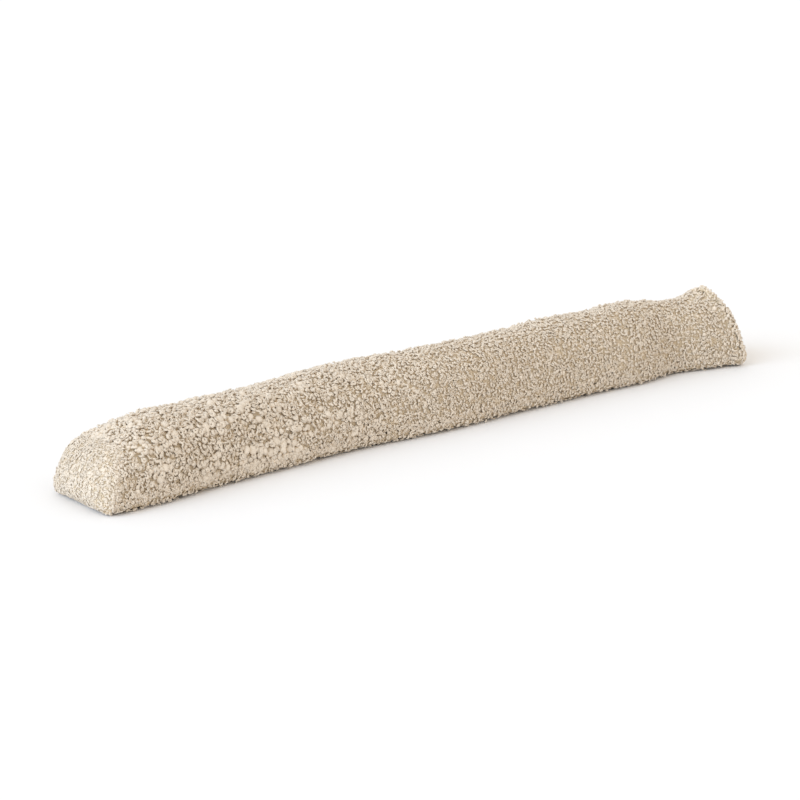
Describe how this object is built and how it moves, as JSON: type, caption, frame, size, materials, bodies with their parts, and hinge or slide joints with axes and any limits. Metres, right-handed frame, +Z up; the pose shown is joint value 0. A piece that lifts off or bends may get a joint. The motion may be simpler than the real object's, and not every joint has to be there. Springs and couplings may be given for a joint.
{
  "type": "draught excluder",
  "caption": "Long stuffed tube of pale curly boucle cloth with a flat base, a rounded crown and two leaning arched ends, to lie along the foot of a door.",
  "frame": {"origin": "middle of the flat underside, where the tube rests on the floor", "axes": "+X along the tube, -Y out of its front long side, +Z up"},
  "size_m": [0.9054, 0.1268, 0.0837],
  "materials": {
    "boucle": "undyed curly boucle pile, matt, warm pale beige"
  },
  "bodies": {
    "root": {"cover": "boucle", "base_panel": "boucle", "end_panel_left": "boucle", "end_panel_right": "boucle"}
  },
  "joints": []
}
